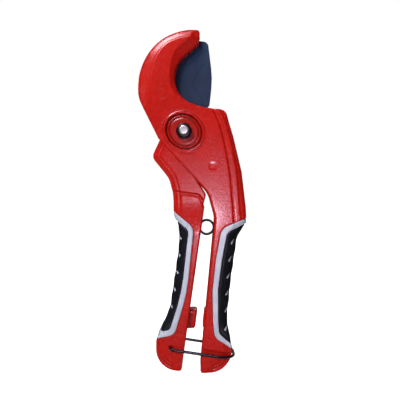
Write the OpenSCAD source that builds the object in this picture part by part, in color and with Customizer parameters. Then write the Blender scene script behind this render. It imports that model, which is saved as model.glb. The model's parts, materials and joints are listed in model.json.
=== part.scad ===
// Ratchet pipe cutter: a cast hook jaw and fixed handle, a swinging lever and a toothed blade, all on
// one pivot bolt. X is to the right across the jaw, Z is up towards the hook and Y is the pivot axis.
// The origin is on the pivot axis at mid thickness. The lever and blade are drawn closed, with the wire
// loop locking the handles. Outlines are lists of [x, z, corner radius] and are drawn in the XZ plane.

/* [Castings] */
// Thickness of the hook, cheeks and handles
body_t = 22; // [20:0.5:26]
// Width of the cavity between the cheeks, for the lever's fork
cavity_w = 16.8; // [16:0.1:17]
// Width of the slot for the blade
slot_w = 3.2; // [3:0.1:4]
// Side clearance of the lever's fork in the cavity
fork_gap = 0.2; // [0.1:0.05:0.4]
// Width of the hollow along the inside of each handle
channel_w = 12; // [9:0.5:13]
// Thickness of the lever's handle
lever_t = 20; // [19:0.5:22]

/* [Blade] */
// Thickness of the blade and pawls
blade_t = 2.5; // [2:0.1:2.8]
// Radius over the ratchet teeth
tooth_tip_r = 15.5; // [14.5:0.1:15.8]
// Radius at the bottom of the ratchet teeth
tooth_root_r = 13.3; // [12.8:0.1:13.8]
// Number of ratchet teeth
tooth_count = 13; // [8:1:13]

/* [Fasteners] */
// Diameter of the pivot bolt
bolt_d = 6; // [5:0.5:6]
// Outer diameter of the pivot bush
bush_d = 10; // [9:0.5:11]
// Diameter of the pawl pins
pin_d = 3; // [2.5:0.1:3.2]
// Radial running clearance of everything that turns
run_gap = 0.05; // [0.02:0.01:0.1]

/* [Grips] */
// How far the grips stand proud of the castings, front and back
grip_proud = 0.6; // [0.3:0.1:1]
// Thickness of the black pads
pad_t = 1.6; // [1:0.1:2]

/* [Springs and lock] */
// Wire diameter of the lock loop
lock_wire = 1.8; // [1.6:0.1:2]
// Reach of the lock loop from its pivot
lock_reach = 41; // [41:0.1:42]
// Wire diameter of the handle spring
spring_wire = 1.5; // [1.2:0.1:1.8]
// Outer diameter of the handle spring's coil
coil_d = 10.8; // [10:0.1:12]

/* [Hidden] */

half_t = body_t / 2;
arc_step = 9;          // degrees from point to point round a corner
fork_w = cavity_w - 2 * fork_gap;
hub_r = 12;            // lever's hub round the pivot
tooth_pitch = 13.5;    // angle from one ratchet tooth to the next
drive_pin = [-16, -10.9];
hold_pin = [18.3, -22.1];
lock_pivot = [-8.4, -138.3];
lock_tilt = 8.4;       // the locked loop slopes down by this angle
coil_centre = [14.6, -61.5];
released = 13;         // the pawls are drawn lifted off the teeth by this angle
dish_depth = 0.9;
nut_t = 5.5;
bolt_end = 2.3;        // the bolt shows this much beyond the nut
neck_step = 0.9;       // the lever's neck is this much lower than its head, front and back

RED = [0.78, 0.07, 0.05];
GREY = [0.70, 0.73, 0.80];
BLACK = [0.06, 0.06, 0.08];
STEEL = [0.75, 0.76, 0.78];
BLADE = [0.14, 0.20, 0.29];
SPRING = [0.12, 0.11, 0.12];

// ---------- outlines with rounded corners ----------

function unit(v) = v / norm(v);
function at(p) = [p[0], p[1]];

// Points round corner b, which lies between a and c, as an arc of the corner's radius.
function corner(a, b, c) =
    len(b) == 2 || b[2] == 0 ? [at(b)] :
    let (
        u = unit(at(a) - at(b)),
        v = unit(at(c) - at(b)),
        half = acos(u * v) / 2,
        reach = b[2] / tan(half),
        centre = at(b) + unit(u + v) * b[2] / sin(half),
        from = at(b) + u * reach - centre,
        turn = (u[0] * v[1] - u[1] * v[0] > 0 ? -1 : 1) * (180 - 2 * half),
        start = atan2(from[1], from[0]),
        steps = max(2, ceil(abs(turn) / arc_step))
    )
    [for (i = [0:steps]) centre + b[2] * [cos(start + turn * i / steps), sin(start + turn * i / steps)]];

function rounded(list) =
    let (n = len(list))
    [for (i = [0:n - 1]) each corner(list[(i + n - 1) % n], list[i], list[(i + 1) % n])];

function polar(r, a) = [r * cos(a), r * sin(a)];
function turned(p, a) = [p[0] * cos(a) + p[1] * sin(a), -p[0] * sin(a) + p[1] * cos(a)];
function ellipse(a, b, tilt, n = 48) =
    [for (i = [0:n - 1]) turned([a * cos(360 * i / n), b * sin(360 * i / n)], tilt)];

// A plate in the XZ plane, w thick and centred on y.
module plate(points, w, y = 0) {
    translate([0, y, 0]) rotate([90, 0, 0]) linear_extrude(height = w, center = true) polygon(points);
}

// A disc or hole along Y at p.
module disc(p, r, w, y = 0, fn = 64) {
    translate([p[0], y, p[1]]) rotate([90, 0, 0]) cylinder(r = r, h = w, center = true, $fn = fn);
}

// Turns the children about the Y axis through p, clockwise as seen from the front.
module turn_about(p, a) {
    translate([p[0], 0, p[1]]) rotate([0, a, 0]) translate([-p[0], 0, -p[1]]) children();
}

// ---------- wire ----------

// A round wire along a path. No stretch of the path may run along ref.
module wire(path, r, ref, sides = 8) {
    n = len(path);
    function tangent(i) = unit(path[min(i + 1, n - 1)] - path[max(i - 1, 0)]);
    rings = [for (i = [0:n - 1])
        let (t = tangent(i), s = unit(cross(t, ref)), u = cross(s, t))
        for (k = [0:sides - 1]) path[i] + r * (s * cos(360 * k / sides) + u * sin(360 * k / sides))];
    faces = concat(
        [[for (k = [0:sides - 1]) k]],
        [for (i = [0:n - 2]) for (k = [0:sides - 1])
            let (a = i * sides + k, b = i * sides + (k + 1) % sides) [a, a + sides, b + sides, b]],
        [[for (k = [sides - 1:-1:0]) (n - 1) * sides + k]]
    );
    polyhedron(points = rings, faces = faces, convexity = 8);
}

// Points of a coil about Y through centre, from angle a0 to a1, with y going from y0 to y1.
function coil(centre, r, a0, a1, y0, y1, step = 20) =
    let (n = ceil(abs(a1 - a0) / step))
    [for (i = [0:n]) let (a = a0 + (a1 - a0) * i / n)
        [centre[0] + r * cos(a), y0 + (y1 - y0) * i / n, centre[1] + r * sin(a)]];

// ---------- outlines ----------

// Outer side of the fixed handle, from the head down to the bottom corner.
fixed_outer = [
    [26.6, 14.4, 5], [38.5, -25.3, 200], [40.4, -58.5, 2], [34.6, -66.6, 14], [30.3, -96, 120],
    [27.8, -121, 25], [30.8, -139, 12], [30.5, -154.2, 15],
];
body_outline = rounded(concat(
    [[10.5, 66, 2.5], [9.4, 57.6, 1.2], [-6, 44.2, 20], [-6, 22.5, 17], [13, 15.2, 30]],
    fixed_outer,
    [[10.2, -154.2, 1.8], [19.7, -55, 14], [15.4, -39.2, 15], [-16.4, -4.4, 0.8],
     [-29.7, 22.3, 22], [-29.7, 66, 35.2]]
));

// The lever below its shoulder, where it is as thick as the body.
lever_handle = rounded([
    [-7.6, -37.8, 0], [8, -39.4, 2.5], [13.1, -47.8, 1.5], [-1.7, -153.2, 1.8], [-18.1, -153.2, 13.8],
    [-18.1, -133.5, 8], [-9.6, -114.5, 25], [-3.3, -71, 60], [-3.9, -60, 8], [-7, -53.5, 2], [-7, -44, 40],
]);
// The thin head of the lever, which runs between the cheeks: ear, neck and the seat for the hub.
lever_head = rounded([
    [-15.2, -3.2, 0.5], [-21.1, -15.8, 5], [-9.7, -29.9, 14], [-7.5, -39, 0], [-5, -42, 0], [9, -43, 0],
    [12, -48, 0], [14.2, -40, 3], [4, -24, 12], [8, -8, 4], [0, 8, 4],
]);

// Grip areas: everything on the outer side of each line.
fixed_frame_area = rounded([
    [60, -47.3, 0], [23.9, -61.8, 8], [16.9, -101.5, 150], [19.4, -131.2, 7], [60, -157, 0],
]);
fixed_pad_area = rounded([
    [60, -49.5, 0], [27.6, -64.2, 5], [20.3, -101.5, 150], [22.4, -128.6, 5], [60, -161, 0],
]);
lever_frame_area = rounded([
    [-40, -24.5, 0], [-40, -136.5, 0], [-6.1, -129.9, 6], [2, -103, 100], [6.3, -61.5, 7],
]);
lever_pad_area = rounded([
    [-40, -28.8, 0], [-40, -132, 0], [-9, -126.6, 4], [-1.6, -103, 100], [2.9, -63.2, 4.5],
]);

// The castings are this much narrower than the outline under the grips.
grip_inset = 3.4;

// ---------- body ----------

// What the blade sweeps between closed and open, with clearance, on its own thin level.
module blade_slot() {
    plate(rounded([
        [-10.8, 8, 0], [-11.2, 40, 30], [-3, 58.6, 12], [9, 63.6, 2], [22, 63, 0], [60, 63, 0], [60, -5, 0],
        [38, -5.2, 4], [16, -12, 3], [-10.8, -4, 0],
    ]), slot_w);
    disc([0, 0], tooth_tip_r + 0.8, slot_w, fn = 96);
}

// Room for the holding pawl and its spring, on the blade's level.
module pawl_pocket() {
    plate(rounded([
        [13, -25.5, 4], [22.3, -27.5, 3], [25.6, -12, 2], [22, -4, 3], [8, -4, 0], [6, -14, 0],
    ]), slot_w);
}

// Room for the lever's fork and neck, from closed to fully open.
module fork_cavity() {
    disc([0, 0], hub_r + 0.8, cavity_w, fn = 96);
    plate(rounded([
        [-34, 8.5, 0], [-12.5, 5.5, 3], [-4, 12, 0], [9, 7, 0], [11, -9, 4], [6.5, -24, 12], [15.9, -39, 4],
        [24, -58, 0], [-34, -58, 0],
    ]), cavity_w);
}

module handle_channel(points) { plate(points, channel_w); }

// The hollow along the inside of the fixed handle.
fixed_channel = rounded([
    [4, -146, 0], [17.2, -146, 2], [22.3, -92, 0], [24.6, -62, 6], [17, -47.5, 0], [10, -47.5, 0],
]);
lever_channel = rounded([
    [16, -147, 0], [-7, -147, 2], [-0.6, -104, 60], [4.2, -66, 4], [4.2, -54, 2], [20, -54, 0],
]);

// Takes the grip's seat off a casting: thinner front and back, and back from the outer side.
module grip_seat(area, outline, shift, t) {
    depth = 1.4;
    for (s = [-1, 1]) plate(area, depth * 2, s * t / 2);
    difference() {
        plate(area, t + 2);
        translate([shift, 0, 0]) plate(outline, t + 4);
    }
}

module body_casting() {
    color(RED) difference() {
        union() {
            plate(body_outline, body_t);
            // stop pad on the inside of the handle
            plate(rounded([
                [15, -114.8, 0], [12.9, -115.2, 0.6], [11.6, -126.3, 0.6], [14, -126.8, 0],
            ]), 12);
        }
        blade_slot();
        pawl_pocket();
        fork_cavity();
        difference() {
            handle_channel(fixed_channel);
            plate([[9, -115.1], [16.5, -115.1], [16, -126.5], [9, -126.5]], 14);
        }
        grip_seat(fixed_frame_area, body_outline, -grip_inset, body_t);
        // dished seats round the pivot, front and back
        for (s = [-1, 1]) {
            plate(ellipse(13.2, 11.2, 38), 2 * dish_depth, s * half_t);
        }
        // grooves that the lock wire lies in
        for (s = [-1, 1]) plate([[8, -138.9], [34, -141.6], [34, -147.4], [8, -143.6]], 1, s * half_t);
        disc([0, 0], bolt_d / 2 + run_gap, body_t + 2);
        disc(hold_pin, pin_d / 2 + 0.01, body_t - 2, y = 1.01);
    }
}

module pivot_bush() {
    color(STEEL) difference() {
        disc([0, 0], bush_d / 2, cavity_w);
        disc([0, 0], bolt_d / 2 + run_gap, cavity_w + 1);
    }
}

module pivot_bolt() {
    seat = half_t - dish_depth;
    front = seat + nut_t + bolt_end;
    color(STEEL) difference() {
        union() {
            disc([0, 0], bolt_d / 2, seat + front - 0.8, y = (seat - front + 0.8) / 2);
            translate([0, -front + 0.8, 0]) rotate([90, 0, 0])
                cylinder(r1 = bolt_d / 2, r2 = bolt_d / 2 - 0.8, h = 0.8, $fn = 64);
            disc([0, 0], 5.2, 3.4, y = seat + 1.7);
        }
        disc([0, 0], 2.3, 4, y = seat + 3.4, fn = 6);
    }
}

module pivot_nut() {
    base = half_t - dish_depth;
    color(BLACK) difference() {
        intersection() {
            disc([0, 0], 10 / sqrt(3), nut_t, y = -(base + nut_t / 2), fn = 6);
            translate([0, -base, 0]) rotate([90, 0, 0]) cylinder(r1 = 7.4, r2 = 5.0, h = nut_t, $fn = 64);
        }
        disc([0, 0], bolt_d / 2 + 0.01, body_t * 2);
    }
}

module holding_pawl_pin() {
    color(STEEL) disc(hold_pin, pin_d / 2, body_t - 2.2, y = 1.0);
}

// ---------- grips ----------

// The grey frame: a channel that wraps the outer side of a handle, with a bar round the pad.
module grip_frame(area, pad_area, outline, shift, t) {
    outer = t + 2 * grip_proud;
    color(GREY) difference() {
        intersection() {
            plate(area, outer);
            plate(outline, outer);
        }
        intersection() {
            plate(area, t - 2.8 + 0.02);
            translate([shift, 0, 0]) plate(outline, t);
        }
        // the pad's seat
        for (s = [-1, 1]) plate(pad_area, 2 * pad_t, s * outer / 2);
        difference() {
            plate(pad_area, t + 2);
            translate([sign(shift) * pad_t, 0, 0]) plate(outline, t + 4);
        }
    }
}

// The black pad, which fills the frame's seat and stands a little proud of it.
module grip_pad(pad_area, outline, shift, t) {
    outer = t + 2 * grip_proud;
    color(BLACK) difference() {
        intersection() {
            plate(pad_area, outer + 0.8);
            plate(outline, outer + 0.8);
        }
        intersection() {
            plate(pad_area, outer - 2 * pad_t + 0.02);
            translate([sign(shift) * (pad_t - 0.01), 0, 0]) plate(outline, t + 4);
        }
    }
}

module fixed_grip_frame() {
    grip_frame(fixed_frame_area, fixed_pad_area, body_outline, -grip_inset, body_t);
}

module fixed_grip_pad() { grip_pad(fixed_pad_area, body_outline, -grip_inset, body_t); }
module lever_grip_frame() {
    grip_frame(lever_frame_area, lever_pad_area, lever_handle, grip_inset, lever_t);
}

module lever_grip_pad() { grip_pad(lever_pad_area, lever_handle, grip_inset, lever_t); }

// ---------- lever ----------

module lever_casting() {
    color(RED) difference() {
        union() {
            plate(lever_handle, fork_w - 2 * neck_step);
            intersection() {
                plate(lever_handle, lever_t);
                plate([[-40, -49], [40, -49], [40, -170], [-40, -170]], lever_t);
            }
            plate(lever_head, fork_w);
            disc([0, 0], hub_r, fork_w, fn = 96);
            // stop block that meets the pad on the fixed handle
            plate(rounded([[2, -115.2, 0], [8.4, -114.8, 1.6], [7.2, -127, 1.6], [0, -127.4, 0]]), 11);
        }
        // the fork's slot, which the blade and both pawls share
        disc([0, 0], 31, slot_w, fn = 96);
        disc([0, 0], bush_d / 2 + run_gap, body_t);
        // ring for the blade's spring, behind the blade
        disc([0, 0], 8.4, 2, y = slot_w / 2 + 0.9);
        difference() {
            handle_channel(lever_channel);
            plate([[-9, -115.5], [12, -115.5], [12, -126.8], [-9, -126.8]], 14);
        }
        grip_seat(lever_frame_area, lever_handle, grip_inset, lever_t);
        disc(drive_pin, pin_d / 2 + 0.01, fork_w - 2, y = 1.01);
        for (s = [-1, 1]) disc(lock_pivot, lock_wire / 2 + run_gap, 10, y = s * lever_t / 2);
    }
}

module drive_pawl_pin() {
    color(STEEL) disc(drive_pin, pin_d / 2, fork_w - 2.2, y = 1.0);
}

// ---------- blade and pawls ----------

first_tooth = 205.5;

// Ratchet teeth: each has a steep face towards smaller angles and a ramp on its other side.
teeth = [for (i = [0:tooth_count - 1]) each
    [polar(tooth_root_r, first_tooth + i * tooth_pitch), polar(tooth_tip_r, first_tooth + i * tooth_pitch)]];

// The blade's spine and cutting edge, going up the spine from the hub and down the edge.
blade_top = rounded([
    polar(tooth_root_r, first_tooth + tooth_count * tooth_pitch),
    polar(12.9, 32), polar(12.9, 50), [9.9, 13.5, 1], [16.4, 18.4, 3], [17.1, 24, 20], [18.4, 36.5, 60],
    [15.6, 58.8, 3], [13.6, 60.5, 1.5], [4, 61.6, 1.5],
    [-8.8, 44, 25], [-9.6, 24, 40], [-10.2, 9, 5], polar(tooth_root_r, first_tooth - 20),
]);

module blade_plate() {
    plate(concat(
        [for (p = teeth) p],
        [polar(tooth_root_r, first_tooth + tooth_count * tooth_pitch)],
        [for (i = [1:len(blade_top) - 1]) blade_top[i]]
    ), blade_t);
}

module blade() {
    color(BLADE) difference() {
        blade_plate();
        disc([0, 0], bush_d / 2 + run_gap, blade_t + 1);
    }
}

// A pawl from its pin to the tooth gap at tip_angle. play is its angle of clearance from the tooth.
module pawl(pin, tip_angle, play, back) {
    clear = 0.4;
    floor_r = tooth_root_r + (tooth_tip_r - tooth_root_r) * play / tooth_pitch;
    nose = polar(floor_r + clear, tip_angle - play);
    heel = polar(tooth_tip_r + clear, tip_angle - play);
    ramp = polar(tooth_tip_r + 0.3, tip_angle - tooth_pitch * 0.8);
    turn_about(pin, released) difference() {
        union() {
            plate(concat([nose, heel], back, [ramp]), blade_t);
            disc(pin, 3, blade_t);
        }
        disc(pin, pin_d / 2 + run_gap, blade_t + 1);
    }
}

drive_gap = first_tooth + 3 * tooth_pitch;
hold_gap = first_tooth + 10 * tooth_pitch;

module drive_pawl() {
    color(STEEL) pawl(drive_pin, drive_gap, 1.5, [polar(18.6, drive_gap + 1), polar(21.3, drive_gap - 16),
        [-15.2, -13.8], [-17.4, -8.3]]);
}

module holding_pawl() {
    color(STEEL) pawl(hold_pin, hold_gap, 3.8, [polar(17.4, hold_gap - 2), [17.4, -13.5], [21.2, -21.4],
        [15.6, -23.3]]);
}

// ---------- springs ----------

// A torsion coil round the bush behind the blade.
module blade_spring() {
    y = blade_t / 2 + 0.5;
    color(SPRING) wire(coil([0, 0], 7.1, 80, 80 + 450, y, y + 1.1, 15), 0.4, [0, 1, 0]);
}

// A small compression spring between two points in the XZ plane.
module push_spring(a, b, r, w, turns) {
    e = unit([b[0] - a[0], 0, b[1] - a[1]]);
    s = [-e[2], 0, e[0]];
    length = norm(b - a);
    n = turns * 16;
    color(SPRING) wire([for (i = [0:n]) let (k = i / n)
        [a[0], 0, a[1]] + e * (w + (length - 2 * w) * k)
        + (r - w) * (s * cos(360 * turns * k) + [0, 1, 0] * sin(360 * turns * k))], w, e, 6);
}

module drive_pawl_spring() { push_spring([-10.2, -20.9], [-11.2, -24.8], 1.3, 0.3, 4); }
module holding_pawl_spring() { push_spring([21.4, -15.6], [24.6, -14.7], 1.3, 0.3, 4); }

coil_r = (coil_d - spring_wire) / 2;
turn_pitch = spring_wire + 0.06;

// Part of a turn of the handle spring, counter-clockwise from the front, from its right side round by sweep.
module turn(sweep) {
    rotate([90, 0, 0]) rotate_extrude(angle = sweep, $fn = 72)
        translate([coil_r, 0]) circle(d = spring_wire, $fn = 20);
}

// The turn between the two that carry the legs.
module return_spring_coil() {
    color(SPRING) translate([coil_centre[0], 0, coil_centre[1]]) rotate([0, -100, 0]) turn(340);
}

// A turn with a straight leg that leaves it at its right side and runs down inside a handle.
module turn_with_leg() {
    turn(300);
    translate([coil_r, 0, 0]) rotate([0, 180, 0]) cylinder(d = spring_wire, h = leg_length, $fn = 20);
}

leg_length = 24;
lever_leg_lean = 12;   // degrees that each leg leans from upright, into its handle
body_leg_lean = 5;

module return_spring_lever_leg() {
    color(SPRING) translate([coil_centre[0], -turn_pitch, coil_centre[1]]) rotate([0, lever_leg_lean, 0])
        mirror([1, 0, 0]) turn_with_leg();
}

module return_spring_body_leg() {
    color(SPRING) translate([coil_centre[0], turn_pitch, coil_centre[1]])
        rotate([0, -body_leg_lean, 0]) turn_with_leg();
}

// ---------- lock ----------

// A wire loop: both ends turn into the lever, and the closed end goes round the fixed handle.
module lock_loop() {
    w = lock_wire / 2;
    y = half_t + grip_proud + 0.4 + w;
    bend = 5;
    inner = 1.6;
    turn_in = 4.5;
    color(SPRING) translate([lock_pivot[0], 0, lock_pivot[1]]) rotate([0, lock_tilt, 0]) {
        for (s = [-1, 1]) {
            translate([inner, s * y, 0]) rotate([0, 90, 0])
                cylinder(r = w, h = lock_reach - bend - inner, $fn = 24);
            translate([inner, s * (y - inner), 0]) rotate([0, 0, s > 0 ? 90 : 180])
                rotate_extrude(angle = 90, $fn = 48) translate([inner, 0]) circle(r = w, $fn = 24);
            translate([0, s * (y - inner), 0]) rotate([s > 0 ? 90 : -90, 0, 0])
                cylinder(r = w, h = turn_in, $fn = 24);
            translate([lock_reach - bend, s * (y - bend), 0]) rotate([0, 0, s > 0 ? 0 : -90])
                rotate_extrude(angle = 90, $fn = 48) translate([bend, 0]) circle(r = w, $fn = 24);
        }
        translate([lock_reach, 0, 0]) rotate([90, 0, 0])
            cylinder(r = w, h = 2 * (y - bend), center = true, $fn = 24);
    }
}

body_casting();
pivot_bush();
pivot_bolt();
pivot_nut();
holding_pawl_pin();
fixed_grip_frame();
fixed_grip_pad();
lever_casting();
drive_pawl_pin();
lever_grip_frame();
lever_grip_pad();
blade();
blade_spring();
drive_pawl();
drive_pawl_spring();
holding_pawl();
holding_pawl_spring();
return_spring_coil();
return_spring_lever_leg();
return_spring_body_leg();
lock_loop();
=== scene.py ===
import json
import math

import bmesh
import bpy
import numpy as np
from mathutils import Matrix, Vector


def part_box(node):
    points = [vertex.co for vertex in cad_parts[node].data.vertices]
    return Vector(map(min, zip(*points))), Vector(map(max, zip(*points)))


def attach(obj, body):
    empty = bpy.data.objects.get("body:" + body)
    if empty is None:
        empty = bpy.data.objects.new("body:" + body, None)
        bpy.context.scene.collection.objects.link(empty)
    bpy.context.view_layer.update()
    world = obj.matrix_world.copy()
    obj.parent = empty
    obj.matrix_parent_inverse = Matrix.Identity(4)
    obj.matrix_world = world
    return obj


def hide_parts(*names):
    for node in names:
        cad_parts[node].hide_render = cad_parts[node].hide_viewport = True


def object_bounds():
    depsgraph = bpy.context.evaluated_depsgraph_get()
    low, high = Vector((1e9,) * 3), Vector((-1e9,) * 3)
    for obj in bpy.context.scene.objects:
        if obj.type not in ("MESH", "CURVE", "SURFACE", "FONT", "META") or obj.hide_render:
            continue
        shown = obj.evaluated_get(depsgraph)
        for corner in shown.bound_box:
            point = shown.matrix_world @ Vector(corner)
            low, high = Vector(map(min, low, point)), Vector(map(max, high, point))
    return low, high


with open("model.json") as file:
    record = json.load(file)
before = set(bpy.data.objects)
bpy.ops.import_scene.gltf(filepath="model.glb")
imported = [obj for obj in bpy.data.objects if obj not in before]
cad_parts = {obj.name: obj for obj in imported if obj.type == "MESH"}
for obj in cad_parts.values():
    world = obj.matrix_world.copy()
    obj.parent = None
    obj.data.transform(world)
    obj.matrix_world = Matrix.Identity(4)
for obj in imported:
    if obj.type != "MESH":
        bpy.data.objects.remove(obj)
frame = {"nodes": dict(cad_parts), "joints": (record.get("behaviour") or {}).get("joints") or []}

# The castings, grips and blade are solids written as distance fields, in millimetres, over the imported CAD
# parts: their outlines are cut from the CAD meshes, and the heights, fillets and grooves are added here.
# The nut and bolt are written in the same way inside their CAD boxes, and the wires are swept tubes.

cad_low, cad_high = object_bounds()
MM = 0.001
CAST_STEP = 0.5   # grid spacing of the castings and grips
FINE_STEP = 0.25  # grid spacing of the blade

HALF_BODY = 11.0      # half thickness of the body
HALF_LEVER = 10.0     # half thickness of the lever's handle
HALF_HEAD = 8.2       # half thickness of the lever's head
HALF_NECK = 7.3       # half thickness of the lever just below its head
DISH = 0.9            # depth of the dish round the pivot
DISH_TILT = math.radians(38)  # the dish's short axis leans this far from upright
DISH_OVAL = 1.12      # its long axis over its short one
DISH_RIM = 13.0       # radius of the raised rim round the dish
DISH_GROOVES = (11.7, 9.8, 14.1)  # radii of the dish's two grooves and of the one outside its rim
THROAT = (15.25, 37.5)       # centre of the throat, as x and z
HOLD_PIN = (18.3, -22.1)     # the holding pawl's pin
DRIVE_PIN = (-16, -10.9)     # the drive pawl's pin
PIN_HOLE = 1.55       # radius of the pins' holes
SLOT_SECTION = 0.8    # depths at which the castings' outlines are cut: in the blade's slot,
CAVITY_SECTION = 3.5  # in the cavity
CHEEK_SECTION = 7.2   # and by the cheeks
FAR = 99.0            # further than any point of the part
CHUNK = 4096          # points handled at once in the distance tests


# ---------- distance fields ----------

def section(node, y):
    """Line segments in (x, z) where the plane at depth y cuts a CAD node."""
    mesh = frame["nodes"][node].data
    mesh.calc_loop_triangles()
    points = np.empty(len(mesh.vertices) * 3)
    mesh.vertices.foreach_get("co", points)
    corners = np.empty(len(mesh.loop_triangles) * 3, int)
    mesh.loop_triangles.foreach_get("vertices", corners)
    tri = points.reshape(-1, 3)[corners].reshape(-1, 3, 3) / MM
    side = tri[:, :, 1] - y
    cuts, crossed = [], []
    for a, b in ((0, 1), (1, 2), (2, 0)):
        cross = (side[:, a] < 0) != (side[:, b] < 0)
        span = np.where(cross, side[:, a] - side[:, b], 1.0)
        cuts.append(tri[:, a] + (side[:, a] / span)[:, None] * (tri[:, b] - tri[:, a]))
        crossed.append(cross)
    crossed = np.stack(crossed, 1)
    hit = crossed.sum(1) == 2
    order = np.argsort(~crossed[hit], axis=1, kind="stable")[:, :2]
    both = np.take_along_axis(np.stack(cuts, 1)[hit], order[:, :, None], axis=1)
    return both[:, :, [0, 2]]


def joint_place(name):
    """A joint's place in millimetres."""
    joint = [j for j in frame["joints"] if j["name"] == name][0]
    return [v / MM for v in joint["pos_m"]]


def nearest(points, segments):
    """Distance from each point to the nearest segment, and that segment's index."""
    a = segments[:, 0]
    ab = segments[:, 1] - a
    length2 = np.maximum((ab ** 2).sum(1), 1e-12)
    best = np.empty(len(points))
    which = np.empty(len(points), int)
    for start in range(0, len(points), CHUNK):
        p = points[start:start + CHUNK, None, :] - a
        t = np.clip((p * ab).sum(2) / length2, 0, 1)
        d2 = ((p - t[:, :, None] * ab) ** 2).sum(2)
        k = d2.argmin(1)
        which[start:start + CHUNK] = k
        best[start:start + CHUNK] = np.sqrt(d2[np.arange(len(k)), k])
    return best, which


def inside(points, segments):
    """Even-odd test of each point against a closed outline."""
    a, b = segments[:, 0], segments[:, 1]
    result = np.empty(len(points), bool)
    slope = np.where(b[:, 1] != a[:, 1], b[:, 1] - a[:, 1], 1.0)
    for start in range(0, len(points), CHUNK):
        p = points[start:start + CHUNK]
        spans = (a[:, 1] > p[:, 1, None]) != (b[:, 1] > p[:, 1, None])
        x = a[:, 0] + (p[:, 1, None] - a[:, 1]) * (b[:, 0] - a[:, 0]) / slope
        result[start:start + CHUNK] = (spans & (x > p[:, 0, None])).sum(1) % 2 == 1
    return result


def signed(points, segments):
    """Distance to a closed outline, negative inside it."""
    return np.where(inside(points, segments), -1, 1) * nearest(points, segments)[0]


def closed(points):
    """Segments of a closed polygon."""
    p = np.array(points, float)
    return np.stack([p, np.roll(p, -1, 0)], 1)


def smooth_path(points, steps=8):
    """A Catmull-Rom curve through the points."""
    p = np.array([points[0], *points, points[-1]], float)
    curve = []
    for i in range(1, len(p) - 2):
        for t in np.linspace(0, 1, steps, endpoint=False):
            a, b, c, d = p[i - 1:i + 3]
            curve.append(0.5 * (2 * b + (c - a) * t + (2 * a - 5 * b + 4 * c - d) * t ** 2
                                + (3 * b - a - 3 * c + d) * t ** 3))
    return [*curve, p[-1]]


def joined(points, outlines):
    """Signed distance to the outline round several touching regions, and that outline's segments."""
    fields = [signed(points, s) for s in outlines]
    kept = []
    for i, segments in enumerate(outlines):
        middle = segments.mean(1)
        free = np.ones(len(segments), bool)
        for j, other in enumerate(outlines):
            if j != i:
                free &= signed(middle, other) > 0.06
        kept.append(segments[free])
    edge = np.concatenate(kept)
    low = np.min(fields, axis=0)
    return np.where(low < 0.06, -1, 1) * nearest(points, edge)[0], edge


def boundary(points, outline, whole):
    """Signed distance to the part of an outline inside the whole, carried on straight past its ends."""
    middle = outline.mean(1)
    segments = outline[signed(middle, whole) < -0.4]
    middle = segments.mean(1)
    run = segments[:, 1] - segments[:, 0]
    normal = np.stack([run[:, 1], -run[:, 0]], 1) / np.maximum(np.linalg.norm(run, axis=1), 1e-9)[:, None]
    outward = np.where(inside(middle + 0.15 * normal, outline), -1, 1)
    normal *= outward[:, None]
    distance, which = nearest(points, segments)
    side = ((points - middle[which]) * normal[which]).sum(1)
    return np.where(side < 0, -1, 1) * distance


def rise(value, start, end):
    """0 below start, 1 above end, smooth between them."""
    t = np.clip((value - start) / (end - start), 0, 1)
    return t * t * (3 - 2 * t)


def fillet(a, b, radius):
    """The overlap of two solids, with a round of the radius where their faces meet."""
    u, v = a + radius, b + radius
    return np.minimum(np.maximum(u, v), 0) + np.hypot(np.maximum(u, 0), np.maximum(v, 0)) - radius


def blend_min(a, b, width):
    """Two solids joined, with a soft hollow of about the width where they meet."""
    h = np.maximum(width - np.abs(a - b), 0) / width
    return np.minimum(a, b) - h * h * width / 4


class Grid:
    """A box of sample points. flat() runs a function of (x, z) points once and gives it for every depth."""

    def __init__(self, low, high, step):
        self.step = step
        self.low = np.array(low, float) - 2.3 * step
        counts = np.ceil((np.array(high, float) + 2.3 * step - self.low) / step).astype(int) + 1
        axes = [self.low[i] + step * np.arange(counts[i]) for i in range(3)]
        self.x = axes[0][:, None, None]
        self.y = axes[1][None, :, None]
        self.z = axes[2][None, None, :]
        self.counts = counts
        plane = np.stack(np.meshgrid(axes[0], axes[2], indexing="ij"), -1)
        self.plane = plane.reshape(-1, 2)

    def lift(self, values):
        return np.asarray(values).reshape(self.counts[0], 1, self.counts[2])

    def flat(self, segments):
        return self.lift(signed(self.plane, segments))


def soften(grid, field, width):
    """A flat field blurred over about the width, which rounds off the facets of its outline."""
    reach = int(3 * width / grid.step)
    weights = np.exp(-0.5 * (np.arange(-reach, reach + 1) * grid.step / width) ** 2)
    weights /= weights.sum()
    result = field[:, 0, :]
    for axis in (0, 1):
        spread = [(reach, reach) if i == axis else (0, 0) for i in (0, 1)]
        padded = np.pad(result, spread, mode="edge")
        result = np.lib.stride_tricks.sliding_window_view(padded, len(weights), axis) @ weights
    return grid.lift(result)


CORNERS = np.array([(i, j, k) for i in (0, 1) for j in (0, 1) for k in (0, 1)])


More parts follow.
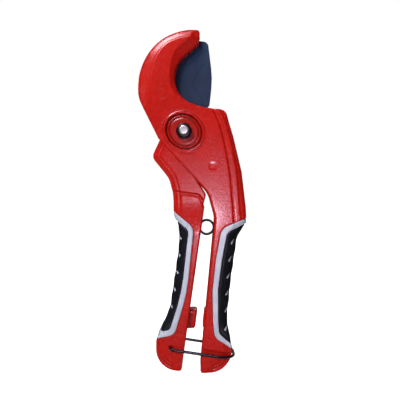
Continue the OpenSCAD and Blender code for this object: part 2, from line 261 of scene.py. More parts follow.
def surface(name, grid, field):
    """A smooth mesh where the field is zero: a vertex in each cell it crosses, and a quad to each edge."""
    field = np.ascontiguousarray(np.broadcast_to(field, tuple(grid.counts))).astype(np.float32)
    solid = field < 0
    cells = tuple(grid.counts - 1)
    total = np.zeros(cells, np.int8)
    for i, j, k in CORNERS:
        total += solid[i:i + cells[0], j:j + cells[1], k:k + cells[2]]
    active = (total > 0) & (total < 8)
    where = np.argwhere(active)
    number = np.full(cells, -1)
    number[active] = np.arange(len(where))
    values = np.stack([field[tuple((where + c).T)] for c in CORNERS], 1)
    total_point = np.zeros((len(where), 3))
    crossings = np.zeros(len(where))
    for a in range(8):
        for axis in range(3):
            if CORNERS[a][axis]:
                continue
            b = a + (4, 2, 1)[axis]
            fa, fb = values[:, a], values[:, b]
            cross = (fa < 0) != (fb < 0)
            t = np.where(cross, fa / np.where(cross, fa - fb, 1), 0)
            point = CORNERS[a] + t[:, None] * np.eye(3)[axis]
            total_point += point * cross[:, None]
            crossings += cross
    local = total_point / crossings[:, None]
    for _ in range(2):  # pull each vertex onto the surface
        weight = [np.where(CORNERS[:, i], local[:, i, None], 1 - local[:, i, None]) for i in range(3)]
        value = (values * weight[0] * weight[1] * weight[2]).sum(1)
        slopes = []
        for i in range(3):
            others = [weight[j] for j in range(3) if j != i]
            slopes.append((values * np.where(CORNERS[:, i], 1, -1) * others[0] * others[1]).sum(1))
        slope = np.stack(slopes, 1)
        local -= slope * (value / np.maximum((slope ** 2).sum(1), 1e-6))[:, None] * 0.7
        local = np.clip(local, 0.02, 0.98)
    points = (grid.low + grid.step * (where + local)) * MM
    quads = []
    for axis in range(3):
        u, v = [(1, 2), (2, 0), (0, 1)][axis]
        size = list(grid.counts)
        size[axis] -= 1
        first = solid[tuple(slice(0, n) for n in size)]
        shift = [slice(0, n) for n in size]
        shift[axis] = slice(1, size[axis] + 1)
        second = solid[tuple(shift)]
        for flip in (False, True):
            edge = np.argwhere((first & ~second) if flip else (~first & second))
            edge = edge[(edge[:, u] > 0) & (edge[:, v] > 0)
                        & (edge[:, u] < grid.counts[u] - 1) & (edge[:, v] < grid.counts[v] - 1)]
            around = []
            for du, dv in ((-1, -1), (0, -1), (0, 0), (-1, 0)):
                cell = edge.copy()
                cell[:, u] += du
                cell[:, v] += dv
                around.append(number[tuple(cell.T)])
            around = np.stack(around, 1)
            quads.append(around if flip else around[:, ::-1])
    quads = np.concatenate(quads)
    return mesh_object(name, points, quads)


def mesh_object(name, points, quads):
    mesh = bpy.data.meshes.new(name)
    mesh.vertices.add(len(points))
    mesh.vertices.foreach_set("co", np.asarray(points, np.float32).ravel())
    mesh.loops.add(quads.size)
    mesh.loops.foreach_set("vertex_index", quads.astype(np.int32).ravel())
    mesh.polygons.add(len(quads))
    mesh.polygons.foreach_set("loop_start", np.arange(0, quads.size, quads.shape[1], dtype=np.int32))
    mesh.polygons.foreach_set("use_smooth", np.ones(len(quads), bool))
    mesh.update(calc_edges=True)
    mesh.validate()
    obj = bpy.data.objects.new(name, mesh)
    bpy.context.scene.collection.objects.link(obj)
    return obj


def place(obj, body, slot, material, *nodes):
    obj.data.materials.clear()
    obj.data.materials.append(material)
    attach(obj, body)
    if nodes:
        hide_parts(*nodes)
    return obj


# ---------- materials ----------

class Shader:
    """A Principled material built node by node. Texture coordinates are in metres."""

    def __init__(self, name, colour, roughness, metallic=0.0):
        self.material = bpy.data.materials.new(name)
        self.material.use_nodes = True
        self.tree = self.material.node_tree
        self.bsdf = self.tree.nodes["Principled BSDF"]
        self.bsdf.inputs["Base Color"].default_value = (*colour, 1)
        self.bsdf.inputs["Roughness"].default_value = roughness
        self.bsdf.inputs["Metallic"].default_value = metallic
        self.coord = self.tree.nodes.new("ShaderNodeTexCoord")

    def link(self, out, into):
        self.tree.links.new(out, into)

    def noise(self, scale, detail):
        node = self.tree.nodes.new("ShaderNodeTexNoise")
        node.inputs["Scale"].default_value = scale
        node.inputs["Detail"].default_value = detail
        self.link(self.coord.outputs["Object"], node.inputs["Vector"])
        return node.outputs["Fac"]

    def cells(self, scale):
        node = self.tree.nodes.new("ShaderNodeTexVoronoi")
        node.inputs["Scale"].default_value = scale
        self.link(self.coord.outputs["Object"], node.inputs["Vector"])
        return node.outputs["Distance"]

    def ramp(self, factor, low, high, start=0.3, end=0.7):
        node = self.tree.nodes.new("ShaderNodeMapRange")
        node.inputs["From Min"].default_value = start
        node.inputs["From Max"].default_value = end
        node.inputs["To Min"].default_value = low
        node.inputs["To Max"].default_value = high
        self.link(factor, node.inputs["Value"])
        return node.outputs["Result"]

    def mix(self, factor, a, b):
        """Colour a where the factor is 0 and b where it is 1. Each is a colour or another node's output."""
        node = self.tree.nodes.new("ShaderNodeMix")
        node.data_type = "RGBA"
        self.link(factor, node.inputs["Factor"])
        for value, socket in ((a, "A"), (b, "B")):
            into = [s for s in node.inputs if s.name == socket and s.type == "RGBA"][0]
            if isinstance(value, tuple):
                into.default_value = (*value, 1)
            else:
                self.link(value, into)
        return [s for s in node.outputs if s.type == "RGBA"][0]

    def colour(self, out):
        self.link(out, self.bsdf.inputs["Base Color"])

    def roughness(self, out):
        self.link(out, self.bsdf.inputs["Roughness"])

    def bump(self, height, distance, strength=1.0):
        node = self.tree.nodes.new("ShaderNodeBump")
        node.inputs["Strength"].default_value = strength
        node.inputs["Distance"].default_value = distance
        self.link(height, node.inputs["Height"])
        if self.bsdf.inputs["Normal"].is_linked:
            self.link(self.bsdf.inputs["Normal"].links[0].from_socket, node.inputs["Normal"])
        self.link(node.outputs["Normal"], self.bsdf.inputs["Normal"])

    def math(self, operation, a, b=0.0):
        """One step of arithmetic on numbers or other nodes' outputs."""
        node = self.tree.nodes.new("ShaderNodeMath")
        node.operation = operation
        for value, into in zip((a, b), node.inputs):
            if isinstance(value, (int, float)):
                into.default_value = value
            else:
                self.link(value, into)
        return node.outputs[0]

    def dish_radius(self):
        """Distance from the pivot in the slightly oval measure of the dish."""
        axes = self.tree.nodes.new("ShaderNodeSeparateXYZ")
        self.link(self.coord.outputs["Object"], axes.inputs[0])
        x, z = axes.outputs[0], axes.outputs[2]
        c, s = math.cos(DISH_TILT), math.sin(DISH_TILT)
        u = self.math("SUBTRACT", self.math("MULTIPLY", x, c), self.math("MULTIPLY", z, s))
        v = self.math("ADD", self.math("MULTIPLY", x, s), self.math("MULTIPLY", z, c))
        v = self.math("MULTIPLY", v, DISH_OVAL)
        return self.math("SQRT", self.math("ADD", self.math("MULTIPLY", u, u), self.math("MULTIPLY", v, v)))

    def edges(self, low, high):
        """A mask from curvature: 0 at low and 1 at high, where 0.5 is flat and 1 a sharp outer edge."""
        geometry = self.tree.nodes.new("ShaderNodeNewGeometry")
        return self.ramp(geometry.outputs["Pointiness"], 0, 1, low, high)


def red_enamel(name, dish=False):
    """Glossy red paint over a cast skin. With dish it has painted shade: dark rings along the grooves round
    the pivot.
    """
    s = Shader(name, (0.5, 0.01, 0.008), 0.3)
    cloud = s.noise(38, 4)
    base = s.mix(s.ramp(cloud, 0, 1), (0.46, 0.0055, 0.002), (0.55, 0.008, 0.0035))
    # Lighter red along sharp outer edges. Painted shade: darker red in creases and hollows, where the
    # curvature mask falls below flat.
    base = s.mix(s.edges(0.58, 0.68), base, (0.60, 0.02, 0.012))
    base = s.mix(s.edges(0.47, 0.38), base, (0.10, 0.003, 0.003))
    if dish:
        radius = s.dish_radius()
        # painted shade: a dark ring along each groove of the dish, strongest in the first groove
        for groove, width, level in zip(DISH_GROOVES, (0.5, 0.4, 0.35), (0.85, 0.75, 0.3)):
            away = s.math("ABSOLUTE", s.math("SUBTRACT", radius, groove * MM))
            base = s.mix(s.ramp(away, level, 0, 0.15 * MM, width * 1.6 * MM), base, (0.035, 0.002, 0.002))
        speckle = s.ramp(s.noise(1300, 2), 0, 0.7, 0.4, 0.6)
        mottle = s.math("MULTIPLY", speckle, s.ramp(radius, 1, 0, 9.0 * MM, 9.4 * MM))
        base = s.mix(mottle, base, (0.22, 0.012, 0.006))
    s.colour(base)
    s.roughness(s.ramp(s.noise(300, 3), 0.24, 0.29))
    s.bump(s.ramp(s.noise(1000, 2), 0, 1, 0.48, 0.7), 0.00006, 0.8)
    s.bump(s.noise(2200, 2), 0.00002, 0.5)
    s.bsdf.inputs["Specular IOR Level"].default_value = 0.26
    s.bsdf.inputs["Coat Weight"].default_value = 0.1
    s.bsdf.inputs["Coat Roughness"].default_value = 0.12
    return s.material


def grip_grey():
    s = Shader("grip_grey", (0.5, 0.52, 0.64), 0.42)
    s.colour(s.mix(s.ramp(s.noise(120, 4), 0, 1), (0.46, 0.485, 0.60), (0.56, 0.58, 0.69)))
    s.roughness(s.ramp(s.noise(500, 3), 0.36, 0.52))
    s.bump(s.noise(1800, 2), 0.00004, 0.5)
    return s.material


def grip_black():
    s = Shader("grip_black", (0.006, 0.006, 0.01), 0.5)
    s.colour(s.mix(s.ramp(s.noise(160, 4), 0, 1), (0.003, 0.003, 0.007), (0.008, 0.008, 0.014)))
    s.roughness(s.ramp(s.noise(260, 3), 0.42, 0.6))
    s.bump(s.cells(1300), 0.00005, 0.5)
    s.bsdf.inputs["Specular IOR Level"].default_value = 0.25
    return s.material


def coated_blade():
    s = Shader("coated_blade", (0.03, 0.05, 0.085), 0.36, 0.2)
    s.colour(s.mix(s.ramp(s.noise(45, 5), 0, 1), (0.009, 0.022, 0.060), (0.017, 0.037, 0.088)))
    s.roughness(s.ramp(s.noise(400, 3), 0.36, 0.46))
    s.bump(s.noise(1600, 2), 0.00001, 0.5)
    s.bsdf.inputs["Specular IOR Level"].default_value = 0.3
    return s.material


def bright_zinc():
    s = Shader("bright_zinc", (0.72, 0.73, 0.74), 0.3, 0.75)
    s.colour(s.mix(s.ramp(s.noise(700, 3), 0, 1), (0.62, 0.63, 0.64), (0.82, 0.83, 0.85)))
    s.roughness(s.ramp(s.noise(1500, 3), 0.26, 0.4))
    return s.material


def black_oxide():
    s = Shader("black_oxide", (0.012, 0.012, 0.018), 0.3, 0.4)
    s.colour(s.mix(s.ramp(s.noise(600, 3), 0, 1), (0.004, 0.004, 0.008), (0.012, 0.012, 0.02)))
    s.roughness(s.ramp(s.noise(900, 3), 0.22, 0.42))
    s.bump(s.noise(2400, 2), 0.00002, 0.5)
    return s.material


def spring_steel():
    s = Shader("spring_steel", (0.03, 0.028, 0.03), 0.34, 0.8)
    s.colour(s.mix(s.ramp(s.noise(500, 3), 0, 1), (0.006, 0.006, 0.008), (0.022, 0.02, 0.022)))
    s.roughness(s.ramp(s.noise(1400, 3), 0.26, 0.44))
    return s.material


RED = red_enamel("red_enamel")
BODY_RED = red_enamel("red_enamel_dish", True)
GREY = grip_grey()
BLACK = grip_black()
BLADE = coated_blade()
ZINC = bright_zinc()
OXIDE = black_oxide()
SPRING = spring_steel()


# ---------- grips, shared by the body and the lever ----------

def across(grid, d, outer_side):
    """0 on a handle's inner side and 1 on its outer side, from the width of the solid in each row."""
    solid = d[:, 0, :] < 0
    x = grid.x[:, 0, 0]
    low = np.where(solid.any(0), x[solid.argmax(0)], 0)
    high = np.where(solid.any(0), x[len(x) - 1 - solid[::-1].argmax(0)], 1)
    middle = ((low + high) / 2)[None, None, :]
    half = np.maximum((high - low) / 2, 1)[None, None, :]
    return rise(outer_side * (grid.x - middle) / half, -0.35, 0.35)


class Handle:
    """What a handle's casting and both grip parts share: the D-shaped solid and the two seat lines."""

    def __init__(self, casting, level, grip, pad, half, outer_side):
        self.outlines = [section(casting, level), section(grip, -0.5), section(pad, -0.5)]
        self.half = half
        self.outer_side = outer_side
        level = -(half - 0.1)
        self.pad_outline = section(pad, level)
        self.grip_outlines = [section(grip, level), self.pad_outline]

    def lay_out(self, grid):
        """The handle's flat fields on this grid."""
        d, edge = joined(grid.plane, self.outlines)
        _, seat_edge = joined(grid.plane, self.grip_outlines)
        self.d = grid.lift(d)
        self.frame_line = grid.lift(boundary(grid.plane, seat_edge, edge))
        self.pad_line = grid.lift(boundary(grid.plane, self.pad_outline, edge))
        self.outer = across(grid, self.d, self.outer_side)
        lock = joint_place("lock_swing")
        middle = edge.mean(1)
        rim = edge[np.hypot(middle[:, 0] - lock[0], middle[:, 1] - lock[2]) > 3]
        self.from_rim = grid.lift(nearest(grid.plane, rim)[0])

    def radius(self, grid):
        """Small along the inner side, large along the outer side, and small again at the flat butt."""
        large = self.outer * rise(grid.z, -134, -118)
        return INNER_RADIUS + (OUTER_RADIUS - INNER_RADIUS) * large

    def solid(self, grid, proud=0.0):
        """The handle's rounded solid. Its front and back stand proud by the amount, its outline stays."""
        return fillet(self.d, np.abs(grid.y) - self.half - proud, self.radius(grid))


BODY_HANDLE = Handle("body_casting", -9.0, "fixed_grip_frame", "fixed_grip_pad", HALF_BODY, 1)
LEVER_HANDLE = Handle("lever_casting", -6.5, "lever_grip_frame", "lever_grip_pad", HALF_LEVER, -1)

INNER_RADIUS = 1.1    # of the handles' long edges on the inner side
OUTER_RADIUS = 8.5    # and on the outer side
PROUD = 0.75          # the grey frame stands this far out of the casting
PAD_PROUD = 1.15      # and the black pad this far
SEAT = 1.7            # depth of the frame's seat in the casting
BED = 0.95            # depth of the pad's bed in the frame
WINDOW_PITCH = 11.0
WINDOW_INNER = 5.0    # the windows end this far from mid-thickness
FIXED_TOP_WINDOW = -70.0
LEVER_TOP_WINDOW = -67.5
SCALLOP = 0.15        # half the depth of the pads' waves along the outer side
GAP = 0.05            # clearance between the casting, frame and pad


def fixed_windows(z):
    """Where the fixed pad's windows lie: just inside the outer edge."""
    return 27.2 + 4.0 * ((z + 125) / 55) ** 2


def lever_windows(z):
    """Where the lever pad's windows lie."""
    return -3.1 - 5.6 * (max(LEVER_TOP_WINDOW - z, 0) / 43) ** 1.5


def windows(grid, handle, top, line, count):
    """The row of small slanted windows near the outer edge of a pad, as one field."""
    field = np.full((grid.counts[0], 1, grid.counts[2]), FAR)
    side = handle.outer_side
    for i in range(count):
        z = top - i * WINDOW_PITCH
        x = line(z)
        wedge = closed([(x - 1.9 * side, z - 1.2), (x - 0.7 * side, z - 2.6), (x + 1.7 * side, z + 2.9)])
        field = np.minimum(field, grid.flat(wedge))
    return field


def grips(handle, body, frame_node, pad_node, top, line, count):
    """The grey frame and black pad of one handle."""
    low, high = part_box(frame_node)
    pad_low, pad_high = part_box(pad_node)
    low = np.minimum(low, pad_low) / MM - 2
    high = np.maximum(high, pad_high) / MM + 2
    grid = Grid(low, high, CAST_STEP)
    handle.lay_out(grid)
    skin = handle.solid(grid)
    holes = np.maximum(windows(grid, handle, top, line, count), WINDOW_INNER - np.abs(grid.y))

    grey = fillet(handle.solid(grid, PROUD), handle.frame_line, 0.7)
    seat = -(skin + SEAT - GAP)
    grey = np.maximum(grey, seat)
    under_pad = fillet(-(skin + BED + GAP), handle.pad_line - GAP, 0.1)
    grey = np.maximum(grey, -under_pad)
    studs = np.maximum(np.maximum(handle.solid(grid, PROUD) + 0.3, seat), holes + GAP)
    grey = np.minimum(grey, studs)
    place(surface(frame_node + "_shell", grid, grey), body, "grip_grey", GREY, frame_node)

    wave = SCALLOP * (1 + np.cos((grid.z - top) * 2 * math.pi / WINDOW_PITCH)) * handle.outer
    black = fillet(handle.solid(grid, PAD_PROUD) + wave, handle.pad_line + 0.1, 0.8)
    black = np.maximum(black, -(skin + BED))
    black = np.maximum(black, -(holes - GAP))
    place(surface(pad_node + "_shell", grid, black), body, "grip_black", BLACK, pad_node)


# ---------- body ----------

def butt_steps(grid, handle):
    """Two contour lines round a handle's butt: a small step down with a groove along it."""
    reach = handle.from_rim
    steps = (0.3 * rise(-reach, -4.6, -3.9) + 0.4 * rise(-reach, -2.8, -2.1)
             + ring(reach, 4.3, 0.45, 0.6) + ring(reach, 2.5, 0.45, 0.7))
    return steps * rise(-grid.z, 130, 136) * handle.outer


def ring(radius, centre, width, depth):
    """A round groove, as a height to take off."""
    return depth * np.exp(-((radius - centre) / width) ** 2)


def body_casting():
    low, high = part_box("body_casting")
    grid = Grid(np.array(low) / MM, np.array(high) / MM, CAST_STEP)
    x, y, z = grid.x, grid.y, grid.z
    depth = np.abs(y)
    BODY_HANDLE.lay_out(grid)
    d = BODY_HANDLE.d
    hook_back = rise(8 - x, 0, 4) * rise(np.hypot(x - THROAT[0], z - THROAT[1]), 25, 30) * rise(z, 0, 8)
    d = d + (soften(grid, d, 2.2) - d) * hook_back
    height = np.full((grid.counts[0], 1, grid.counts[2]), HALF_BODY)

    # hook: a bevelled outer band beyond a crease
    crease = smooth_path([(13, 61.5), (5, 61.0), (-4, 59.4), (-12, 55.5), (-17.5, 48.5), (-20.6, 39),
                          (-22.4, 30), (-23.6, 22), (-24, 8)])
    hook = grid.flat(closed([*crease, (-24, -20), (60, -20), (60, 61.5)]))
    hook_zone = rise(z, 8, 34)
    band = np.maximum(hook, 0) * hook_zone
    height = height - 0.38 * band - 0.35 * rise(hook, -0.3, 0.5) * hook_zone

    # throat: a bevel round the inside of the hook, widest near the tip
    casting = BODY_HANDLE.outlines[0]
    middle = casting.mean(1)
    from_centre = np.hypot(middle[:, 0] - THROAT[0], middle[:, 1] - THROAT[1])
    throat_edge = casting[(from_centre < 24.6) & (middle[:, 1] > 15.4) & (middle[:, 0] < 9.7)]
    from_throat = grid.lift(nearest(grid.plane, throat_edge)[0])
    bevel = 1.0 + 2.0 * rise(z, 18, 30) + 2.6 * rise(z, 38, 54)
    height = height - 0.8 * np.maximum(bevel - from_throat, 0) - 0.2 * rise(bevel - from_throat, -0.3, 0.4)

    # right side of the head: two steps down to the edge
    line = smooth_path([(17.6, 17), (18.8, 12.8), (23.1, 2.2), (27, -14.7), (29.4, -29.3), (30.4, -41.5),
                        (31.6, -56.1), (32, -62), (32, -90)])
    side = grid.flat(closed([(16.5, 70), *line, (-40, -90), (-40, 70)]))
    head_zone = rise(z, -64, -60) * rise(-z, -26, -22)
    height = height - head_zone * (0.75 * rise(side, -0.2, 0.7) + 0.9 * rise(side, 4.1, 5.0))
    height = height - head_zone * 0.45 * np.exp(-((side - 0.4) / 0.45) ** 2)

    # dish round the pivot, slightly oval
    u = x * math.cos(DISH_TILT) - z * math.sin(DISH_TILT)
    v = x * math.sin(DISH_TILT) + z * math.cos(DISH_TILT)
    round_r = np.hypot(u, v * DISH_OVAL)
    first, second, outside = DISH_GROOVES
    height = height + 0.4 * np.exp(-((round_r - DISH_RIM) / 0.8) ** 4)
    height = height - ring(round_r, first, 0.6, 1.5) - 0.5 * rise(first - 0.1 - round_r, -0.3, 0.3)
    height = height - ring(round_r, second, 0.5, 0.9) - 0.4 * rise(second - 0.1 - round_r, -0.3, 0.3)
    height = height - ring(round_r, outside, 0.45, 0.3)

    # dimple over the pawl's pin, and a moulding mark on the hook
    dimple = np.hypot(x - HOLD_PIN[0], z - HOLD_PIN[1])
    square = ((x - HOLD_PIN[0]) ** 4 + (z - HOLD_PIN[1]) ** 4) ** 0.25
    height = height - 0.2 * rise(2.2 - square, -0.5, 0.6)
    mark = np.hypot(x + 13.9, z - 24.2)
    height = height - ring(mark, 3.0, 0.4, 0.22) - 0.1 * rise(3.0 - mark, -0.3, 0.3)

    # butt: contour steps and the shallow channel for the lock wire
    butt = rise(-z, 128, 134)
    height = height - butt_steps(grid, BODY_HANDLE)
    wire_line = z + 141.6 + 0.148 * (x - 20)
    height = height - 0.7 * rise(1.7 - np.abs(wire_line), -0.3, 0.3) * butt
    eject = np.hypot(x - 16.2, z + 135.1)
    height = height - ring(eject, 2.5, 0.4, 0.15)

    # fillets: wide on the throat and along the outer side, small elsewhere
    radius = np.full_like(d, 1.1)
    radius = radius + 2.2 * rise(side, 1, 6) * head_zone * rise(14 - z, 0, 8)
    radius = radius + 0.9 * rise(hook, 0, 3) * hook_zone
    lower = rise(-z, 54, 64)
    radius = radius + (BODY_HANDLE.radius(grid) - radius) * lower

    skin = fillet(d, depth - height, radius)
    field = skin
    for at, reach in ((SLOT_SECTION, 1.6), (CAVITY_SECTION, 6.0), (CHEEK_SECTION, 8.4)):
        hollow = np.minimum(grid.flat(section("body_casting", -at)), reach - depth)
        field = np.maximum(field, hollow)
    rib_angle = np.arctan2(z - THROAT[1], x - THROAT[0])
    rib_zone = rise(9 - depth, 0, 1) * rise(3 - from_throat, 0, 1) * rise(z, 24, 28)
    ribs = 0.3 * np.cos(rib_angle * 86) * rib_zone
    field = field + ribs
    # the seat of the grip frame
    plain = BODY_HANDLE.solid(grid)
    seat = np.maximum(BODY_HANDLE.frame_line - 0.02, -(plain + SEAT))
    field = np.maximum(field, -seat)
    # the stop pad on the inner side, and the pin's hole, which opens at the back
    stop = grid.flat(closed([(16, -115.0), (12.9, -115.3), (11.7, -126.2), (15, -126.7)]))
    field = np.minimum(field, fillet(stop + 0.1, depth - 5.9, 0.5))
    hole = np.maximum(dimple - PIN_HOLE, 8 - y)
    field = np.maximum(field, -hole)
    place(surface("body_casting_shell", grid, field), "body", "red_enamel", BODY_RED, "body_casting")


# ---------- lever ----------

def lever_casting():
    low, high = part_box("lever_casting")
    grid = Grid(np.array(low) / MM, np.array(high) / MM, CAST_STEP)
    x, y, z = grid.x, grid.y, grid.z
    depth = np.abs(y)
    LEVER_HANDLE.lay_out(grid)
    d = LEVER_HANDLE.d

    step_line = [(-9, -37.4), (-5.1, -37.6), (-1.3, -38.5), (9.2, -39.8), (11.5, -42.4), (13.7, -46.9),
                 (16, -52)]
    above = grid.flat(closed([*step_line, (40, -52), (40, 40), (-40, 40), (-40, -37.4)]))
    neck = HALF_NECK + (HALF_LEVER - HALF_NECK) * rise(-z, 44, 66)
    height = neck + (HALF_HEAD - neck) * rise(-above, -0.45, 0.45)
    height = height - 0.5 * np.exp(-((above - 0.9) / 0.7) ** 2)

    # contour steps along the outer edge of the head and neck
    outer_edge = smooth_path([(-8, -1), (-10.4, -12), (-6, -22), (-1.5, -32), (0, -45), (0.5, -60)])
    left = grid.flat(closed([*outer_edge, (-60, -60), (-60, -1)]))
    zone = rise(-left, -1.5, 1.5) * rise(z, -60, -54)
    height = height - zone * (0.55 * rise(d, -5.1, -4.3) + 0.75 * rise(d, -2.6, -1.8))
    height = height - zone * (0.3 * np.exp(-((d + 4.5) / 0.4) ** 2) + 0.3 * np.exp(-((d + 2.1) / 0.4) ** 2))

    height = height - butt_steps(grid, LEVER_HANDLE)
    eject = np.hypot(x + 3.8, z + 131.3)
    height = height - ring(eject, 2.5, 0.4, 0.15)

    radius = 1.0 + 0.9 * zone
    lower = rise(-z, 50, 60)
    radius = radius + (LEVER_HANDLE.radius(grid) - radius) * lower
    field = fillet(d, depth - height, radius)
    for at, reach in ((SLOT_SECTION, 1.6), (CAVITY_SECTION, 6.0)):
        hollow = np.minimum(grid.flat(section("lever_casting", -at)), reach - depth)
        field = np.maximum(field, hollow)
    plain = LEVER_HANDLE.solid(grid)
    seat = np.maximum(LEVER_HANDLE.frame_line - 0.02, -(plain + SEAT))
    field = np.maximum(field, -seat)
    # stop block
    block = grid.flat(closed([(1, -116.9), (6.8, -116.5), (5.6, -125.5), (0, -125.7)])) - 1.6
    field = np.minimum(field, fillet(block, depth - 5.5, 1.5))
    pin = np.hypot(x - DRIVE_PIN[0], z - DRIVE_PIN[1])
    field = np.maximum(field, -np.maximum(pin - PIN_HOLE, 6 - y))
    place(surface("lever_casting_shell", grid, field), "lever", "red_enamel", RED, "lever_casting")


# ---------- blade ----------

def blade():
    low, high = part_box("blade")
    grid = Grid(np.array(low) / MM, np.array(high) / MM, FINE_STEP)
    d = grid.flat(section("blade", 0))
    edge = smooth_path([(-9.8, 16), (-9.6, 24), (-9.2, 40), (-5, 50), (3.4, 61)])
    from_edge = grid.lift(nearest(grid.plane, np.stack([edge[:-1], edge[1:]], 1))[0])
    half = 0.16 + 1.09 * rise(from_edge, -1.5, 5.5)
    hollow = smooth_path([(19, 53), (15.5, 49.1), (10.5, 43.6), (7.6, 39.2), (5.2, 35), (4.9, 32.6),
                          (6.5, 29), (11.5, 22.1), (13, 14)])
    ground = -grid.flat(closed([*hollow, (40, 14), (40, 53)]))
    half = half - 0.05 * rise(ground, -0.2, 0.4) - 0.02 * np.maximum(ground, 0)
    field = fillet(d, np.abs(grid.y) - half, 0.22)
    place(surface("blade_plate", grid, field), "cutter", "coated_blade", BLADE, "blade")


# ---------- fasteners ----------

def hexagon(x, z, flat):
    """Distance to a hexagon's sides, with flats at this distance from the centre."""
    return np.maximum(np.maximum(np.abs(z), np.abs(x * math.sin(math.pi / 3) + z * 0.5)),
                      np.abs(x * math.sin(math.pi / 3) - z * 0.5)) - flat


def nut():
    low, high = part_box("pivot_nut")
    grid = Grid(np.array(low) / MM, np.array(high) / MM, 0.16)
    x, y, z = grid.x, grid.y, grid.z
    r = np.hypot(x, z)
    base, top = high[1] / MM, low[1] / MM
    flats = fillet(hexagon(x, z, 4.75), np.maximum(y - base, top + 1.7 - y), 0.3)
    crown = fillet(flats, r - 5.1, 0.3)
    collar = fillet(r - 4.55, np.maximum(y - base, top - y), 1.1)
    field = blend_min(crown, collar, 0.6)
    field = np.maximum(field, 3.02 - r)
    place(surface("pivot_nut_body", grid, field), "body", "black_steel", OXIDE, "pivot_nut")


def bolt():
    low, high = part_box("pivot_bolt")
    grid = Grid(np.array(low) / MM, np.array(high) / MM, 0.2)
    x, y, z = grid.x, grid.y, grid.z
    r = np.hypot(x, z)
    angle = np.arctan2(z, x)
    end, head_end = low[1] / MM, high[1] / MM
    seat = HALF_BODY - DISH
    wave = np.abs(((y + angle / (2 * math.pi)) % 1.0) - 0.5) * 2  # a thread of 1 mm pitch
    thread = 0.28 * wave * rise(-y, 14.6, 15.2)
    shank = fillet(r - 3.0 + thread, np.maximum(end - y, y - seat - 1) + 0.015 * r ** 2, 0.7)
    crown = 0.02 * r ** 2 * rise(y, seat, head_end)
    head = fillet(r - 5.2, np.maximum(y - head_end, seat - y) + crown, 1.2)
    socket = np.maximum(hexagon(x, z, 2.0), head_end - 2 - y)
    field = np.maximum(np.minimum(shank, head), -socket)
    place(surface("pivot_bolt_body", grid, field), "body", "zinc_steel", ZINC, "pivot_bolt")


# ---------- wire parts ----------

def tube(name, path, radius, sides=20):
    """A round wire along a smooth path in millimetres, with its ends slightly domed."""
    p = np.array(path, float)
    tangent = np.gradient(p, axis=0)
    tangent /= np.linalg.norm(tangent, axis=1)[:, None]
    side = np.cross(tangent[0], (0.31, 0.87, 0.38))
    rings = []
    for point, t in zip(p, tangent):
        side = side - t * (side @ t)
        side /= np.linalg.norm(side)
        up = np.cross(t, side)
        angles = np.arange(sides) * 2 * math.pi / sides
        rings.append(point + radius * (np.cos(angles)[:, None] * side + np.sin(angles)[:, None] * up))
    for end, t, sign in ((0, tangent[0], -1), (-1, tangent[-1], 1)):
        centre = p[end]
        ring_points = rings[end]
        caps = [centre + (ring_points - centre) * scale + t * sign * radius * lift
                for scale, lift in ((0.8, 0.35), (0.35, 0.5))]
        rings = [caps[1], caps[0], *rings] if end == 0 else [*rings, caps[0], caps[1]]
    points = np.concatenate(rings) * MM
    quads = []
    for i in range(len(rings) - 1):
        for k in range(sides):
            a, b = i * sides + k, i * sides + (k + 1) % sides
            quads.append((a, b, b + sides, a + sides))
    obj = mesh_object(name, points, np.array(quads))
    mesh = obj.data
    bm = bmesh.new()
    bm.from_mesh(mesh)
    bm.verts.ensure_lookup_table()
    last = len(points) - sides
    bm.faces.new([bm.verts[k] for k in range(sides)][::-1])
    bm.faces.new([bm.verts[last + k] for k in range(sides)])
    bmesh.ops.recalc_face_normals(bm, faces=bm.faces)
    bm.to_mesh(mesh)
    bm.free()
    return obj


def arc(centre, radius, start, end, at=0.0, step=6):
    """Points of an arc in the XZ plane at one depth, counter-clockwise from the front when end > start."""
    count = max(3, int(abs(end - start) / step))
    angles = np.radians(np.linspace(start, end, count))
    return [(centre[0] + radius * math.cos(a), at, centre[1] + radius * math.sin(a)) for a in angles]


def lock_loop():
    """The wire bail: both ends turn into the lever, and the far end is round in depth."""
    pivot = joint_place("lock_swing")
    wire = 0.9
    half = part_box("lock_loop")[1][1] / MM - wire
    tilt = math.radians(8.4)  # the locked loop slopes down by this much
    reach, bend, turn = 41.0, 10.5, 1.6  # length, and the radii of the far bends and of the near ones
    flat = [(0, half - turn - 4.5 + k * 1.1) for k in range(5)]
    for a in np.radians(range(15, 91, 15)):
        flat.append((turn - turn * math.cos(a), half - turn + turn * math.sin(a)))
    flat += [(turn + (reach - bend - turn) * t, half) for t in np.linspace(0.04, 1, 24)]
    for a in np.radians(range(8, 90, 8)):
        flat.append((reach - bend + bend * math.sin(a), half - bend + bend * math.cos(a)))
    flat += [(u, -v) for u, v in flat[::-1]]
    path = [(pivot[0] + u * math.cos(tilt), v, pivot[2] - u * math.sin(tilt)) for u, v in flat]
    place(tube("lock_loop_wire", path, wire), "lock", "black_steel", OXIDE, "lock_loop")


def handle_spring():
    """The torsion spring: three turns side by side, the outer two with a leg."""
    x, _, z = joint_place("spring_lever_leg_flex")
    centre = (x, z)
    low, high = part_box("return_spring_coil")
    wire = (high[1] - low[1]) / 2 / MM
    radius = (high[0] - low[0]) / 2 / MM - wire
    turn = tube("return_spring_turn", arc(centre, radius, 100, 440), wire)
    place(turn, "spring_coil", "spring_steel", SPRING, "return_spring_coil")
    for side, body, node in ((-1, "spring_lever_leg", "return_spring_lever_leg"),
                             (1, "spring_body_leg", "return_spring_body_leg")):
        low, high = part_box(node)
        at = (low[1] + high[1]) / 2 / MM
        start, end = (0, 300) if side > 0 else (180, -120)
        lean = math.radians(12 if side < 0 else -5)
        upright = [(side * radius, z) for z in np.linspace(-23.6, -0.5, 14)]
        leg = [(centre[0] + u * math.cos(lean) + v * math.sin(lean), at,
                centre[1] - u * math.sin(lean) + v * math.cos(lean)) for u, v in upright]
        turned = -math.degrees(lean)
        path = leg + arc(centre, radius, start + turned, end + turned, at)
        place(tube(node + "_wire", path, wire), body, "spring_steel", SPRING, node)


# ---------- carried-over CAD parts ----------

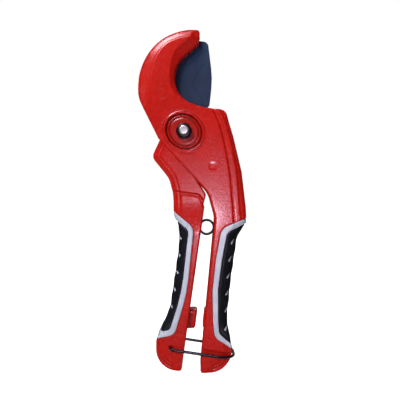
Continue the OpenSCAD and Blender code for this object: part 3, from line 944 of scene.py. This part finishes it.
def finish_cad():
    """Materials for the small CAD parts that are shown as they are, with their edges broken."""
    looks = {
        "pivot_bush": ZINC, "holding_pawl_pin": ZINC, "drive_pawl_pin": ZINC, "drive_pawl": ZINC,
        "holding_pawl": ZINC, "drive_pawl_spring": SPRING, "holding_pawl_spring": SPRING,
        "blade_spring": SPRING,
    }
    for name, material in looks.items():
        obj = frame["nodes"][name]
        obj.data.materials.clear()
        obj.data.materials.append(material)
        if "spring" not in name:
            bevel = obj.modifiers.new("edges", "BEVEL")
            bevel.width = 0.12 * MM
            bevel.segments = 2
            bevel.limit_method = "ANGLE"


# ---------- studio ----------

def area_light(name, location, target, size, power, colour=(1, 1, 1), gloss=True, diffuse=True):
    """A round soft lamp. gloss and diffuse say which kind of shine it makes."""
    data = bpy.data.lights.new(name, "AREA")
    data.shape = "DISK"
    data.size = size
    data.energy = power
    data.color = colour
    obj = bpy.data.objects.new(name, data)
    obj.location = location
    obj.rotation_euler = (Vector(target) - Vector(location)).to_track_quat("-Z", "Y").to_euler()
    obj.visible_glossy = gloss
    obj.visible_diffuse = diffuse
    bpy.context.scene.collection.objects.link(obj)


def studio():
    """A pale floor and room, five lamps and the camera."""
    middle = (cad_low + cad_high) / 2
    reach = 6.0
    corners = [(-reach, -reach), (reach, -reach), (reach, reach), (-reach, reach)]
    floor = mesh_object("floor", [(a, b, cad_low.z) for a, b in corners], np.array([[0, 1, 2, 3]]))
    plain = Shader("floor_paint", (0.86, 0.86, 0.87), 0.8)
    plain.roughness(plain.ramp(plain.noise(4, 3), 0.75, 0.85))
    # Painted reflection: the floor is dark grey where the parts reflect it, and glows evenly white only to
    # the camera.
    plain.bsdf.inputs["Emission Color"].default_value = (1, 1, 1, 1)
    rays = plain.tree.nodes.new("ShaderNodeLightPath").outputs
    plain.link(plain.ramp(rays["Is Camera Ray"], 0, 0.95, 0, 1), plain.bsdf.inputs["Emission Strength"])
    plain.colour(plain.mix(rays["Is Glossy Ray"], (0.86, 0.86, 0.87), (0.08, 0.08, 0.08)))
    floor.data.materials.append(plain.material)

    # the room is white to the camera, soft for diffuse light and dim in reflections
    world = bpy.data.worlds.new("studio")
    world.use_nodes = True
    tree = world.node_tree
    background = tree.nodes["Background"]
    rays = tree.nodes.new("ShaderNodeLightPath")
    level = None
    for output, value in (("Is Glossy Ray", 0.05), ("Is Camera Ray", 1.0)):
        mix = tree.nodes.new("ShaderNodeMix")
        mix.inputs["A"].default_value = 0.17
        mix.inputs["B"].default_value = value
        tree.links.new(rays.outputs[output], mix.inputs["Factor"])
        if level is not None:
            tree.links.new(level, mix.inputs["A"])
        level = mix.outputs["Result"]
    tree.links.new(level, background.inputs["Strength"])
    background.inputs["Color"].default_value = (1, 1, 1, 1)
    bpy.context.scene.world = world
    area_light("front", (-0.26, -0.58, 0.26), middle, 0.15, 2.9, gloss=False)
    area_light("flash", (0.021, -0.29, -0.066), (0.016, 0, -0.055), 0.03, 0.42, (0.9, 0.74, 0.95),
               diffuse=False)
    area_light("above", (-0.12, -0.25, 0.75), middle, 0.35, 2.2, gloss=False)
    area_light("top_gloss", (-0.15, -0.22, 0.35), (-0.01, 0, 0.05), 0.2, 3.6, (1, 0.90, 0.98),
               diffuse=False)
    area_light("back", (0.15, 0.8, 0.5), middle, 0.6, 3.0)

    data = bpy.data.cameras.new("camera")
    data.sensor_width = 36
    data.lens = 39.5
    camera = bpy.data.objects.new("camera", data)
    camera.location = (0.0102, -0.290, -0.0437)
    camera.rotation_euler = (math.pi / 2, 0, 0)
    bpy.context.scene.collection.objects.link(camera)
    bpy.context.scene.camera = camera
    data.clip_start = 0.01
    bpy.context.scene.view_settings.view_transform = "Standard"


body_casting()
lever_casting()
grips(BODY_HANDLE, "body", "fixed_grip_frame", "fixed_grip_pad", FIXED_TOP_WINDOW, fixed_windows, 6)
grips(LEVER_HANDLE, "lever", "lever_grip_frame", "lever_grip_pad", LEVER_TOP_WINDOW, lever_windows, 5)
blade()
nut()
bolt()
lock_loop()
handle_spring()
finish_cad()
studio()
